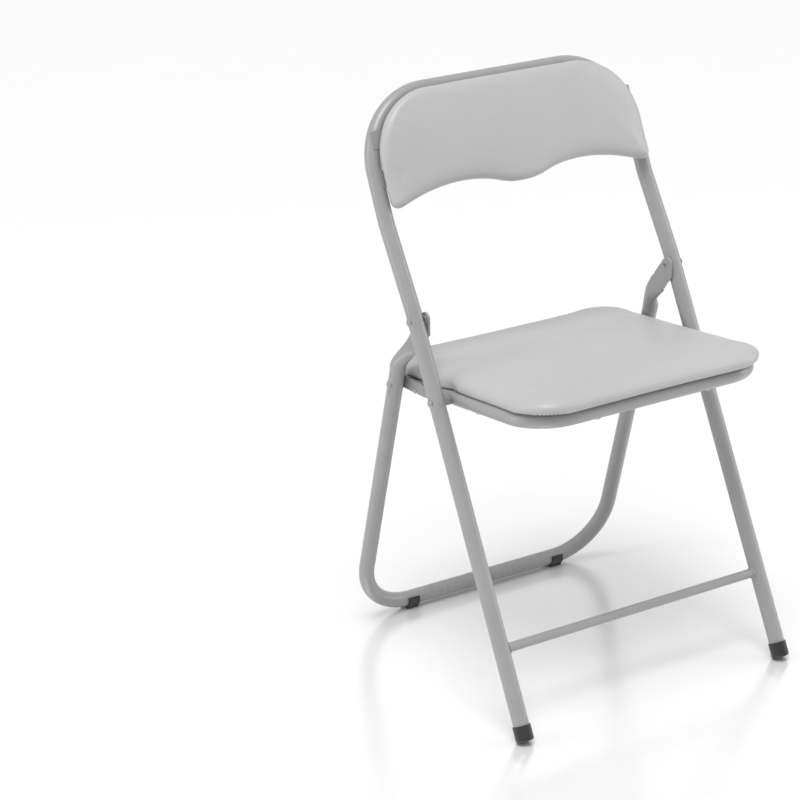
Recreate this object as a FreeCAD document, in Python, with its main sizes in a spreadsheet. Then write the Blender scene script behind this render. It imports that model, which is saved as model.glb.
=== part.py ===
import FreeCAD, Part
import math
import os
from FreeCAD import Vector, Placement, Rotation

# Folding chair: two bent steel tube frames pivoted like scissors, a tube seat
# ring with an upholstered pad, two stamped links that fold the seat with the
# rear legs, and an upholstered back pad.  Millimetres, +Z up, the chair faces
# -Y, +X to the sitter's left.  The origin is on the floor, at the middle of
# the chair's footprint.

doc = FreeCAD.newDocument("folding_chair")

# ---------------------------------------------------------------- dimensions
SHEET = [
    ("shift_y", -13.48),            # moves the whole chair so the footprint is centred
    # front frame, measured along its tube axis from the floor
    ("tube_od", 22.0), ("tube_wall", 1.2),
    ("front_foot_y", -200.0), ("front_half", 217.5), ("front_taper", 0.246),
    ("front_lean", 27.985), ("front_bend_one", 592.0), ("front_lean_mid", 32.55),
    ("front_bend_two", 712.0), ("front_lean_top", 25.2), ("front_top", 881.0),
    ("front_bend_radius", 150.0), ("top_corner_radius", 102.0), ("front_start", 7.0),
    # stretcher
    ("stretcher_at", 127.8), ("stretcher_od", 13.0), ("stretcher_wall", 1.2),
    ("weld_bead", 1.5),
    # rear frame
    ("rear_half", 213.2), ("rear_bar_y", 222.86), ("rear_bar_z", 13.0),
    ("rear_lean", 14.381), ("rear_corner_radius", 85.0), ("rear_round_top", 424.0),
    ("arm_plate", 3.0), ("arm_gap", 0.8),
    # pivots
    ("upper_pivot_at", 575.3), ("seat_pivot_at", 465.0), ("link_pivot_z", 402.0),
    ("rivet_radius", 3.0), ("running_gap", 0.05),
    ("rivet_head_radius", 5.5), ("rivet_head_height", 3.2),
    ("spacer_radius", 7.2), ("washer_radius", 8.0),
    # seat ring, measured from the seat pivot along the tilted side rail
    ("seat_tilt", 7.4), ("ring_od", 20.0), ("ring_wall", 1.2), ("ring_half", 186.3),
    ("ring_front", 187.0), ("ring_rear", 165.0), ("ring_corner_radius", 58.0),
    ("ring_seam", 0.3), ("sleeve_length", 60.0),
    # seat pad
    ("pad_half", 196.0), ("pad_front", 205.5), ("pad_rear", 172.0),
    ("pad_corner_radius", 56.0), ("skin", 1.0), ("board_seat", 9.0), ("board_inset", 5.0),
    ("foam_seat", 22.0), ("pad_edge_round", 11.0), ("lip", 20.0),
    # back pad
    ("back_gap", 0.6), ("board_back", 6.0), ("foam_back", 16.0),
    ("back_bottom", 725.0), ("back_half", 214.5), ("back_corner", 97.0),
    ("back_edge_round", 7.0), ("bracket_plate", 2.0), ("bracket_width", 24.0),
    # links
    ("link_plate", 2.5), ("link_face", 198.2), ("link_hinge_at", 52.33),
    ("link_small_radius", 8.0), ("link_large_radius", 9.0),
    ("stop_at", 78.0), ("stop_drop", 3.2), ("stop_radius", 3.0),
    ("stop_head_radius", 4.3), ("stop_head_height", 1.9), ("notch_gap", 0.35),
    # feet
    ("cap_radius", 12.4), ("cap_length", 21.5), ("cap_floor", 3.0), ("cap_round", 3.5),
    ("glide_width", 18.5), ("glide_radius", 13.4), ("glide_at", 127.5),
    # screws
    ("screw_radius", 2.0), ("screw_head_radius", 4.0), ("screw_head_height", 2.4),
]
sheet = doc.addObject("Spreadsheet::Sheet", "Dimensions")
for row, (alias, value) in enumerate(SHEET, start=1):
    sheet.set("A%d" % row, alias)
    sheet.set("B%d" % row, repr(value))
    sheet.setAlias("B%d" % row, alias)
doc.recompute()


def D(alias):
    return float(getattr(sheet, alias))


def bind(obj, prop, expression):
    """Ties a size to the sheet; bare words in the expression are aliases."""
    words = sorted([a for a, _ in SHEET], key=len, reverse=True)
    import re
    text = re.sub(r"[a-z][a-z_]*[a-z]",
                  lambda m: "Dimensions." + m.group(0) if m.group(0) in words else m.group(0),
                  expression)
    obj.setExpression(prop, text)


def rad(a):
    return math.radians(a)


# ---------------------------------------------------------------- key points
SY = D("shift_y")


def front_point(at, half=None, side=1):
    """A point of the front frame's axis at a distance along the tube."""
    y, z = D("front_foot_y") + SY, 0.0
    marks = [0.0, D("front_bend_one"), D("front_bend_two"), 1e9]
    leans = [D("front_lean"), D("front_lean_mid"), D("front_lean_top")]
    for i in range(3):
        run = min(at, marks[i + 1]) - marks[i]
        if run <= 0:
            break
        y += run * math.sin(rad(leans[i]))
        z += run * math.cos(rad(leans[i]))
    x = D("front_half") - at * math.tan(rad(D("front_taper")))
    if half is not None:
        x = half
    return Vector(side * x, y, z)


A0 = front_point(D("upper_pivot_at"))      # frames cross here
B0 = front_point(D("seat_pivot_at"))       # seat swings here
TILT = rad(D("seat_tilt"))
SEAT_DIR = Vector(0, math.cos(TILT), -math.sin(TILT))
SEAT_UP = Vector(0, math.sin(TILT), math.cos(TILT))
REAR = rad(D("rear_lean"))


def rear_point(z, side=1):
    y = D("rear_bar_y") + SY - (z - D("rear_bar_z")) * math.tan(REAR)
    return Vector(side * D("rear_half"), y, z)


def seat_point(x, along, up):
    """Seat frame of reference: along the side rail from the pivot, and up."""
    return Vector(x, B0.y, B0.z) + SEAT_DIR * along + SEAT_UP * up


SEAT_PLACE = Placement(Vector(0, B0.y, B0.z), Rotation(Vector(1, 0, 0), -D("seat_tilt")))
C0 = rear_point(D("link_pivot_z"))         # link on the rear leg
E0 = seat_point(0, D("link_hinge_at"), 0)  # link on the seat rail
D0 = seat_point(0, D("stop_at"), -D("stop_drop"))

TOP1 = front_point(D("front_bend_two"), 0)
LEANT = rad(D("front_lean_top"))
BACK_UP = Vector(0, math.sin(LEANT), math.cos(LEANT))       # along the upper tube
BACK_OUT = Vector(0, -math.cos(LEANT), math.sin(LEANT))     # towards the sitter


def back_point(x, at, out):
    return TOP1 + Vector(x, 0, 0) + BACK_UP * (at - D("front_bend_two")) + BACK_OUT * out


# ---------------------------------------------------------------- helpers
FINAL = {}


def final(obj, name):
    obj.Label = name
    FINAL[name] = obj
    return obj


def rounded_edges(points, radii, closed=False):
    """Straight runs joined by tangent arcs, each of the radius at its corner."""
    n = len(points)
    ends = {}
    for i in range(n):
        if not closed and i in (0, n - 1):
            continue
        p, a, b = points[i], points[(i - 1) % n], points[(i + 1) % n]
        u = (a - p).normalize()
        v = (b - p).normalize()
        half = u.getAngle(v) / 2
        r = radii[i]
        cut = r / math.tan(half)
        mid = p + ((u + v).normalize()) * (r / math.sin(half) - r)
        ends[i] = (p + u * cut, mid, p + v * cut)
    edges = []
    rng = range(n) if closed else range(n - 1)
    for i in rng:
        j = (i + 1) % n
        a = ends[i][2] if i in ends else points[i]
        b = ends[j][0] if j in ends else points[j]
        if (b - a).Length > 1e-6:
            edges.append(Part.LineSegment(a, b).toShape())
        if j in ends and (closed or j != n - 1):
            edges.append(Part.Arc(*ends[j]).toShape())
    return edges


def path(name, edges):
    o = doc.addObject("Part::Feature", name)
    o.Shape = Part.Wire(Part.__sortEdges__(edges))
    return o


def ring_section(name, radius_expr, at, direction):
    c = doc.addObject("Part::Circle", name)
    bind(c, "Radius", radius_expr)
    c.Placement = Placement(at, Rotation(Vector(0, 0, 1), direction))
    return c


def sweep(name, section, spine):
    s = doc.addObject("Part::Sweep", name)
    s.Sections = [section]
    s.Spine = (spine, ["Edge%d" % (i + 1) for i in range(len(spine.Shape.Edges))])
    s.Solid = True
    s.Frenet = False
    s.Transition = "Transformed"
    return s


def cyl(name, radius, height, at, direction):
    """Cylinder from the point at, running along direction."""
    c = doc.addObject("Part::Cylinder", name)
    bind(c, "Radius", radius)
    bind(c, "Height", height)
    c.Placement = Placement(at, Rotation(Vector(0, 0, 1), direction))
    return c


def cap(name, radius, height, at, direction):
    """Flat-based dome, its base centre at the point at, rising along direction."""
    s = doc.addObject("Part::Sphere", name)
    big = "((%s)^2 + (%s)^2) / (2 * (%s))" % (radius, height, height)
    bind(s, "Radius", big)
    bind(s, "Angle1", "asin(1 - (%s) / (%s))" % (height, big))
    s.Angle2 = 90
    s.Angle3 = 360
    doc.recompute()
    d = Vector(direction)
    d.normalize()
    off = float(s.Radius)
    hh = float(s.Radius) * (1 - math.sin(rad(float(s.Angle1))))
    s.Placement = Placement(at - d * (off - hh), Rotation(Vector(0, 0, 1), d))
    return s


def fuse(name, objs):
    f = doc.addObject("Part::MultiFuse", name)
    f.Shapes = objs
    f.Refine = True
    return f


def cut(name, base, tools):
    """Takes the tools out of the base, one after another."""
    for i, tool in enumerate(tools):
        c = doc.addObject("Part::Cut", name if i == len(tools) - 1 else "%s_step_%d" % (name, i + 1))
        c.Base = base
        c.Tool = tool
        c.Refine = False
        base = c
    return base


def mirror(name, src):
    m = doc.addObject("Part::Mirroring", name)
    m.Source = src
    m.Normal = Vector(1, 0, 0)
    m.Base = Vector(0, 0, 0)
    return m


def pair(name, src):
    """The same piece on both sides of the chair, as two separate solids."""
    c = doc.addObject("Part::Compound", name)
    c.Links = [src, mirror(name + "_mirror", src)]
    return c


def group(name, objs):
    c = doc.addObject("Part::Compound", name)
    c.Links = objs
    return c


def origin_plane(body, role):
    for f in body.Origin.OriginFeatures:
        if f.Role == role:
            return f
    raise RuntimeError(role)


def sketch_on(body, name, role):
    import Sketcher  # noqa: F401
    sk = body.newObject("Sketcher::SketchObject", name)
    sk.AttachmentSupport = (origin_plane(body, role), [""])
    sk.MapMode = "FlatFace"
    return sk


def rounded_plate(name, half, front, rear, corner, thick, lift=0.0, round_expr=None,
                  round_top=True):
    """Rounded rectangle in the seat plane, padded upwards; sizes are expressions."""
    import Sketcher
    body = doc.addObject("PartDesign::Body", name)
    sk = sketch_on(body, name + "_outline", "XY_Plane")
    hw, fr, re_, r = [evaluate(x) for x in (half, front, rear, corner)]
    L = Part.LineSegment
    x0, x1, y0, y1 = -hw, hw, -fr, re_
    lines = [L(Vector(x0 + r, y0, 0), Vector(x1 - r, y0, 0)),
             L(Vector(x1, y0 + r, 0), Vector(x1, y1 - r, 0)),
             L(Vector(x1 - r, y1, 0), Vector(x0 + r, y1, 0)),
             L(Vector(x0, y1 - r, 0), Vector(x0, y0 + r, 0))]
    cs = [(x1 - r, y0 + r, -90, 0), (x1 - r, y1 - r, 0, 90),
          (x0 + r, y1 - r, 90, 180), (x0 + r, y0 + r, 180, 270)]
    for l in lines:
        sk.addGeometry(l, False)
    for cx, cy, a, b in cs:
        sk.addGeometry(Part.ArcOfCircle(Part.Circle(Vector(cx, cy, 0), Vector(0, 0, 1), r),
                                        rad(a), rad(b)), False)
    C = Sketcher.Constraint
    for i in range(4):
        sk.addConstraint(C("Tangent", i, 2, 4 + i, 1))
        sk.addConstraint(C("Tangent", 4 + i, 2, (i + 1) % 4, 1))
    sk.addConstraint(C("Horizontal", 0))
    sk.addConstraint(C("Vertical", 1))
    sk.addConstraint(C("Horizontal", 2))
    sk.addConstraint(C("Vertical", 3))
    for i in (5, 6, 7):
        sk.addConstraint(C("Equal", 4, i))

    def dim(con, label, expr):
        k = sk.addConstraint(con)
        sk.renameConstraint(k, label)
        bind(sk, "Constraints." + label, expr)
    dim(C("Radius", 4, r), "corner", corner)
    dim(C("DistanceX", -1, 1, 1, 1, x1), "right", half)
    dim(C("DistanceX", 3, 1, -1, 1, hw), "left", half)
    dim(C("DistanceY", 0, 1, -1, 1, fr), "front", front)
    dim(C("DistanceY", -1, 1, 2, 1, re_), "rear", rear)
    pad = body.newObject("PartDesign::Pad", name + "_pad")
    pad.Profile = sk
    bind(pad, "Length", thick)
    doc.recompute()
    if round_expr:
        top = evaluate(thick)
        names = []
        for i, e in enumerate(pad.Shape.Edges):
            zs = [v.Point.z for v in e.Vertexes]
            if all(abs(z - (top if round_top else 0)) < 1e-6 for z in zs):
                names.append("Edge%d" % (i + 1))
        f = body.newObject("PartDesign::Fillet", name + "_round")
        f.Base = (pad, names)
        bind(f, "Radius", round_expr)
        doc.recompute()
    body.Placement = SEAT_PLACE.multiply(Placement(Vector(0, 0, lift), Rotation()))
    return body


def evaluate(expr):
    env = {a: D(a) for a, _ in SHEET}
    total = 0.0
    # sums and differences of aliases and numbers only
    token = ""
    sign = 1.0
    for ch in expr.replace(" ", "") + "+":
        if ch in "+-" and token:
            val = 1.0
            for i, t in enumerate(token.split("*")):
                val *= env[t] if t in env else float(t)
            total += sign * val
            token = ""
            sign = 1.0 if ch == "+" else -1.0
        elif ch == "-":
            sign = -1.0
        elif ch != "+":
            token += ch
    return total


# ================================================================ front frame
# Inverted U: each leg leans back, bends at two places, and the two legs join
# over the top in one bar.
T = D("tube_od") / 2
right_leg = [front_point(D("front_start")), front_point(D("front_bend_one")),
             front_point(D("front_bend_two")), front_point(D("front_top"))]
left_leg = [Vector(-p.x, p.y, p.z) for p in right_leg]
fp = right_leg + left_leg[::-1]
fr = D("front_bend_radius")
tr = D("top_corner_radius")
front_spine = path("front_spine", rounded_edges(fp, [0, fr, fr, tr, tr, fr, fr, 0]))
start_dir = (fp[1] - fp[0]).normalize()
front_outer = sweep("front_outer", ring_section("front_section", "tube_od / 2", fp[0], start_dir),
                    front_spine)
front_bore = sweep("front_bore", ring_section("front_bore_section", "tube_od / 2 - tube_wall",
                                              fp[0], start_dir), front_spine)
X = Vector(1, 0, 0)
hole_A = cyl("front_hole_upper", "rivet_radius", "tube_od * 2",
             Vector(A0.x - D("tube_od"), A0.y, A0.z), X)
hole_B = cyl("front_hole_seat", "rivet_radius", "tube_od * 2",
             Vector(B0.x - D("tube_od"), B0.y, B0.z), X)
front_tube = cut("front_tube", front_outer, [front_bore])
front_frame = final(cut("front_frame_cut", front_tube,
                        [hole_A, hole_B, mirror("front_hole_upper_left", hole_A),
                         mirror("front_hole_seat_left", hole_B)]), "front_frame")

# stretcher between the front legs, with a bead of weld round each end
SP = front_point(D("stretcher_at"))
st_out = cyl("stretcher_outer", "stretcher_od / 2", "2 * (front_half - 8)",
             Vector(-(D("front_half") - 8), SP.y, SP.z), X)
st_in = cyl("stretcher_bore", "stretcher_od / 2 - stretcher_wall", "2 * (front_half - 6)",
            Vector(-(D("front_half") - 6), SP.y, SP.z), X)
st_tube = cut("stretcher_tube", st_out, [st_in])
front_stretcher = final(cut("front_stretcher_cut", st_tube, [front_outer]), "front_stretcher")
bead = doc.addObject("Part::Torus", "weld_ring")
bind(bead, "Radius1", "stretcher_od / 2 + 0.2")
bind(bead, "Radius2", "weld_bead")
bead.Placement = Placement(Vector(SP.x - T - 0.2, SP.y, SP.z), Rotation(Vector(0, 0, 1), X))
bead_fill = fuse("weld_neighbours", [front_outer, st_out])
weld = cut("weld_bead_right", bead, [bead_fill])
welds = final(pair("stretcher_welds", weld), "stretcher_welds")

# ================================================================ rear frame
# U standing on its bar; each leg top is flattened, bends forward and lies on
# the inner face of the front tube.
zt = D("rear_round_top")
rp = [rear_point(zt), rear_point(D("rear_bar_z")), rear_point(D("rear_bar_z"), -1), rear_point(zt, -1)]
rc = D("rear_corner_radius")
rear_spine = path("rear_spine", rounded_edges(rp, [0, rc, rc, 0]))
rdir = (rp[1] - rp[0]).normalize()
rear_outer = sweep("rear_outer", ring_section("rear_section", "tube_od / 2", rp[0], rdir), rear_spine)
rear_bore = sweep("rear_bore", ring_section("rear_bore_section", "tube_od / 2 - tube_wall", rp[0], rdir),
                  rear_spine)

plate_out = A0.x - T - D("arm_gap")              # outer face of the flattened arm
plate_in = plate_out - D("arm_plate")
plate_mid = (plate_out + plate_in) / 2


def section_wire(cx, cy, cz, lean, half_wide, half_thick, power):
    """Closed smooth section: width in the Y-Z plane across the arm, thickness along X."""
    w = Vector(0, math.cos(lean), math.sin(lean))
    pts = []
    n = 32
    for i in range(n):
        a = 2 * math.pi * i / n
        c, s = math.cos(a), math.sin(a)
        u = math.copysign(abs(c) ** (2.0 / power), c) * half_wide
        v = math.copysign(abs(s) ** (2.0 / power), s) * half_thick
        pts.append(Vector(cx, cy, cz) + w * u + X * v)
    b = Part.BSplineCurve()
    b.interpolate(Points=pts, PeriodicFlag=True)
    return Part.Wire([b.toShape()])


def arm_sections(inner):
    t = D("tube_wall") * inner
    r0 = rear_point(zt)
    secs = [(r0.x, r0.y, r0.z, REAR, T - t, T - t, 2.0),
            (r0.x - 1.6, rear_point(zt + 14).y - 0.3, zt + 14, REAR + 0.02, 12.1 - t, 9.6 - t, 2.0)]
    if not inner:
        secs += [(plate_mid + 3.0, SY + 104.3, zt + 29, REAR + 0.10, 13.0, 4.9, 2.2),
                 (plate_mid + 0.15, SY + 93.1, zt + 43, REAR + 0.22, 14.8, 1.7, 3.2),
                 (plate_mid, SY + 85.8, zt + 52, REAR + 0.34, 15.4, D("arm_plate") / 2, 4.5)]
    else:
        secs += [(plate_mid + 3.4, SY + 104.6, zt + 27.5, REAR + 0.10, 11.4, 3.4, 2.2)]
    return [section_wire(*s) for s in secs]


def arm_loft(name, inner):
    parts = []
    for i, w in enumerate(arm_sections(inner)):
        o = doc.addObject("Part::Feature", "%s_section_%d" % (name, i + 1))
        o.Shape = w
        parts.append(o)
    lf = doc.addObject("Part::Loft", name)
    lf.Sections = parts
    lf.Solid = True
    lf.Ruled = False
    return lf


arm_outer = arm_loft("arm_outer", 0)
arm_inner = arm_loft("arm_inner", 1)
# flattened end, with its clipped front corner and rounded top round the pivot
outline = [(99.5, 474.5), (94.0, 488.6), (76.5, 512.0), (68.5, 521.8), (57.8, 515.5), (57.2, 489.5),
           (66.5, 480.2), (73.5, 469.5), (87.0, 470.0)]
orad = [3.0, 40.0, 20.0, 7.5, 6.0, 5.0, 20.0, 3.0, 3.0]
plate_pts = [Vector(plate_in, y + SY, z) for y, z in outline]
plate_face = doc.addObject("Part::Feature", "arm_plate_outline")
plate_face.Shape = Part.Face(Part.Wire(Part.__sortEdges__(rounded_edges(plate_pts, orad, True))))
plate = doc.addObject("Part::Extrusion", "arm_plate_solid")
plate.Base = plate_face
plate.DirMode = "Custom"
plate.Dir = X
bind(plate, "LengthFwd", "arm_plate")
plate.Solid = True
doc.recompute()
arm = cut("arm_hollow", fuse("arm_solid", [arm_outer, plate]), [arm_inner])
arm_left = mirror("arm_left", arm)
rear_tube = cut("rear_tube", rear_outer, [rear_bore])
rear_body = fuse("rear_body", [rear_tube, arm, arm_left])
hole_A2 = cyl("rear_hole_upper", "rivet_radius + running_gap", "tube_od * 2",
              Vector(A0.x - D("tube_od") * 1.2, A0.y, A0.z), X)
hole_C = cyl("rear_hole_link", "rivet_radius", "tube_od * 2",
             Vector(C0.x - D("tube_od"), C0.y, C0.z), X)
rear_frame = final(cut("rear_frame_cut", rear_body,
                       [hole_A2, hole_C, mirror("rear_hole_upper_left", hole_A2),
                        mirror("rear_hole_link_left", hole_C)]), "rear_frame")

# ================================================================ pivots
# upper pivot rivets: dome outside the front tube, shank through the tube and
# the flattened arm, rolled hollow tail inside
a_out = A0.x + T - 0.25
a_shank = cyl("upper_shank", "rivet_radius", str(round(a_out - plate_in + 0.1, 4)),
              Vector(plate_in - 0.1, A0.y, A0.z), X)
a_head = cap("upper_head", "rivet_head_radius", "rivet_head_height", Vector(a_out, A0.y, A0.z), X)
a_tail = cap("upper_tail", "rivet_radius + 0.9", "1.9", Vector(plate_in - 0.1, A0.y, A0.z), -X)
a_dimple = cyl("upper_tail_bore", "1.7", "6", Vector(plate_in - 3.0, A0.y, A0.z), X)
a_head_cut = cut("upper_head_seat", a_head, [front_outer])
a_rivet = cut("upper_rivet", fuse("upper_rivet_solid", [a_shank, a_head_cut, a_tail]), [a_dimple])
final(pair("upper_pivot_rivets", a_rivet), "upper_pivot_rivets")
w_disc = cyl("upper_washer_disc", "washer_radius", "arm_gap + 1.2", Vector(plate_out + 0.05, A0.y, A0.z), X)
w_hole = cyl("upper_washer_hole", "rivet_radius", "6", Vector(plate_out - 1, A0.y, A0.z), X)
a_washer = cut("upper_washer", w_disc, [w_hole, front_outer])
final(pair("upper_pivot_washers", a_washer), "upper_pivot_washers")

# seat pivot rivets and the bushes that hold the seat rail off the front tube
ring_out = D("ring_half") + D("ring_od") / 2
ring_in = D("ring_half") - D("ring_od") / 2
b_out = B0.x + T - 0.25
b_shank = cyl("seat_shank", "rivet_radius", str(round(b_out - ring_in + 0.15, 4)),
              Vector(ring_in - 0.15, B0.y, B0.z), X)
b_head = cap("seat_head", "rivet_head_radius", "rivet_head_height", Vector(b_out, B0.y, B0.z), X)
b_head_cut = cut("seat_head_seat", b_head, [front_outer])
b_tail = cap("seat_tail", "rivet_radius + 1.6", "2.0", Vector(ring_in - 0.15, B0.y, B0.z), -X)
b_dimple = cyl("seat_tail_bore", "1.7", "5", Vector(ring_in - 4, B0.y, B0.z), X)
b_rivet = cut("seat_rivet", fuse("seat_rivet_solid", [b_shank, b_head_cut, b_tail]), [b_dimple])
final(pair("seat_pivot_rivets", b_rivet), "seat_pivot_rivets")
bush_disc = cyl("bush_solid", "spacer_radius", str(round(B0.x - T + 2.6 - (ring_out + 0.12), 4)),
                Vector(ring_out + 0.12, B0.y, B0.z), X)
bush_hole = cyl("bush_hole", "rivet_radius", "20", Vector(ring_out - 5, B0.y, B0.z), X)
bush = cut("bush", bush_disc, [bush_hole, front_outer])
final(pair("seat_pivot_bushes", bush), "seat_pivot_bushes")

# ================================================================ seat ring
q = [seat_point(D("ring_half"), D("ring_rear"), 0), seat_point(D("ring_half"), -D("ring_front"), 0),
     seat_point(-D("ring_half"), -D("ring_front"), 0), seat_point(-D("ring_half"), D("ring_rear"), 0)]
gap = D("ring_seam") / 2
ring_pts = [seat_point(gap, D("ring_rear"), 0)] + q + [seat_point(-gap, D("ring_rear"), 0)]
kr = D("ring_corner_radius")
ring_spine = path("ring_spine", rounded_edges(ring_pts, [0, kr, kr, kr, kr, 0]))
ring_outer = sweep("ring_outer", ring_section("ring_section", "ring_od / 2", ring_pts[0], X), ring_spine)
ring_bore = sweep("ring_bore", ring_section("ring_bore_section", "ring_od / 2 - ring_wall", ring_pts[0], X),
                  ring_spine)
ring_tube = cut("ring_tube", ring_outer, [ring_bore])

# pan-head screws up through the ring into the seat board
screw_at = [(-90.0, -D("ring_front")), (90.0, -D("ring_front")), (-90.0, D("ring_rear")),
            (90.0, D("ring_rear")), (-D("ring_half"), -55.0), (D("ring_half"), -55.0)]


def cross(name, at, direction):
    """The cross recess of a screw head."""
    bars = []
    rot = Rotation(Vector(0, 0, 1), direction)
    for i, (lx, ly) in enumerate(((5.0, 1.1), (1.1, 5.0))):
        b = doc.addObject("Part::Box", "%s_bar_%d" % (name, i + 1))
        b.Length, b.Width, b.Height = lx, ly, 2.0
        b.Placement = Placement(at + rot.multVec(Vector(-lx / 2, -ly / 2, -1.2)), rot)
        bars.append(b)
    return bars


screws, screw_holes = [], []
half_ring = D("ring_od") / 2
for k, (sx, sv) in enumerate(screw_at):
    base = seat_point(sx, sv, -half_ring + 0.5)
    sh = cyl("seat_screw_shank_%d" % (k + 1), "screw_radius", "ring_od + board_seat - 1.0",
             base - SEAT_UP, SEAT_UP)
    hd = cap("seat_screw_head_%d" % (k + 1), "screw_head_radius", "screw_head_height", base, -SEAT_UP)
    hd_seat = cut("seat_screw_under_%d" % (k + 1), hd, [ring_outer])
    tip = base - SEAT_UP * D("screw_head_height")
    body_s = fuse("seat_screw_solid_%d" % (k + 1), [sh, hd_seat])
    screws.append(cut("seat_screw_%d" % (k + 1), body_s, cross("seat_screw_cross_%d" % (k + 1), tip, -SEAT_UP)))
    screw_holes.append(cyl("seat_screw_hole_%d" % (k + 1), "screw_radius", "ring_od + board_seat - 0.5",
                           base - SEAT_UP * 1.5, SEAT_UP))
final(group("seat_screws", screws), "seat_screws")

# hinge of the link on the rail, and the stop pin under the link
E_shank_len = 204.0 - 0.6 - (ring_in + 0.0)
face = D("link_face")
e_head_in = face + D("link_plate") + 0.1
e_shank = cyl("hinge_shank", "rivet_radius", str(round(e_head_in - ring_in + 0.0, 4)),
              Vector(ring_in, E0.y, E0.z), X)
e_head = cap("hinge_head", "rivet_radius + 1.2", "1.0", Vector(e_head_in, E0.y, E0.z), X)
e_tail = cap("hinge_tail", "rivet_radius + 1.6", "1.8", Vector(ring_in + 0.3, E0.y, E0.z), -X)
e_tail_cut = cut("hinge_tail_seat", e_tail, [ring_outer])
e_rivet = fuse("hinge_rivet", [e_shank, e_head, e_tail_cut])
final(pair("link_hinge_rivets", e_rivet), "link_hinge_rivets")
ew_disc = cyl("hinge_washer_disc", "washer_radius - 1.0", str(round(face - 0.1 - (ring_out - 2.5), 4)),
              Vector(ring_out - 2.5, E0.y, E0.z), X)
ew_hole = cyl("hinge_washer_hole", "rivet_radius", "12", Vector(ring_out - 6, E0.y, E0.z), X)
e_washer = cut("hinge_washer", ew_disc, [ew_hole, ring_outer])
final(pair("link_hinge_washers", e_washer), "link_hinge_washers")

stop_in = D("ring_half") + 4.0
stop_head_x = face + D("link_plate") + 0.25
d_shank = cyl("stop_shank", "stop_radius", str(round(stop_head_x - stop_in, 4)),
              Vector(stop_in, D0.y, D0.z), X)
d_head = cap("stop_head", "stop_head_radius", "stop_head_height", Vector(stop_head_x, D0.y, D0.z), X)
stop_pin = fuse("stop_pin", [d_shank, d_head])
final(pair("stop_pins", stop_pin), "stop_pins")

hole_B2 = cyl("ring_hole_pivot", "rivet_radius + running_gap", "40", Vector(ring_in - 10, B0.y, B0.z), X)
hole_E = cyl("ring_hole_hinge", "rivet_radius", "40", Vector(ring_in - 10, E0.y, E0.z), X)
hole_D = cyl("ring_hole_stop", "stop_radius", "20", Vector(stop_in, D0.y, D0.z), X)
side_holes = [hole_B2, hole_E, hole_D]
side_holes += [mirror(h.Name + "_left", h) for h in side_holes]
seat_frame = final(cut("seat_frame_cut", ring_tube, side_holes + screw_holes), "seat_frame")

sl_out = cyl("sleeve_outer", "ring_od / 2 - ring_wall", "sleeve_length",
             seat_point(-D("sleeve_length") / 2, D("ring_rear"), 0), X)
sl_in = cyl("sleeve_bore", "ring_od / 2 - 2 * ring_wall", "sleeve_length + 2",
            seat_point(-D("sleeve_length") / 2 - 1, D("ring_rear"), 0), X)
final(cut("seat_sleeve", sl_out, [sl_in]), "seat_frame_sleeve")

# ================================================================ links
# stamped plate: small eye on the seat rail, large eye on the rear leg, and a
# notch in the lower edge that comes down on the stop pin


def link_plate(name):
    e = Vector(0, E0.y, E0.z)
    c = Vector(0, C0.y, C0.z)
    d = c - e
    length = d.Length
    d.normalize()
    n = Vector(0, -d.z, d.y)
    re_, rc_ = D("link_small_radius"), D("link_large_radius")
    k = math.asin((rc_ - re_) / length)

    def on(p, r, a):
        return p + (d * math.cos(a) + n * math.sin(a)) * r
    up_a = math.pi / 2 + k
    e_up, c_up = on(e, re_, up_a), on(c, rc_, up_a)
    e_dn, c_dn = on(e, re_, -up_a), on(c, rc_, -up_a)
    edges = [Part.LineSegment(e_up, c_up).toShape(),
             Part.Arc(c_up, on(c, rc_, 0), c_dn).toShape(),
             Part.LineSegment(c_dn, e_dn).toShape(),
             Part.Arc(e_dn, on(e, re_, math.pi), e_up).toShape()]
    f = Part.Face(Part.Wire(Part.__sortEdges__(edges)))
    f.translate(Vector(face, 0, 0))
    o = doc.addObject("Part::Feature", name + "_outline")
    o.Shape = f
    x = doc.addObject("Part::Extrusion", name + "_blank")
    x.Base = o
    x.DirMode = "Custom"
    x.Dir = X
    bind(x, "LengthFwd", "link_plate")
    x.Solid = True
    return x


blank = link_plate("link")
eye_E = cyl("link_eye_seat", "rivet_radius + running_gap", "10", Vector(face - 2, E0.y, E0.z), X)
eye_C = cyl("link_eye_leg", "rivet_radius", "10", Vector(face - 2, C0.y, C0.z), X)
notch_r = D("stop_radius") + D("notch_gap")
notch = cyl("link_notch", "stop_radius + notch_gap", "10", Vector(face - 2, D0.y, D0.z), X)
flare = doc.addObject("Part::Feature", "link_notch_flare")
fl = [seat_point(face - 2, D("stop_at") - notch_r, -D("stop_drop")),
      seat_point(face - 2, D("stop_at") + notch_r, -D("stop_drop")),
      seat_point(face - 2, D("stop_at") + notch_r + 2.2, -D("stop_drop") - 9),
      seat_point(face - 2, D("stop_at") - notch_r - 3.4, -D("stop_drop") - 9)]
flare.Shape = Part.Face(Part.makePolygon(fl + [fl[0]])).extrude(X * 10)
right_link = final(cut("right_link_cut", blank, [eye_E, eye_C, notch, flare]), "right_link")
left_link = final(mirror("left_link_mirror", right_link), "left_link")

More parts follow.
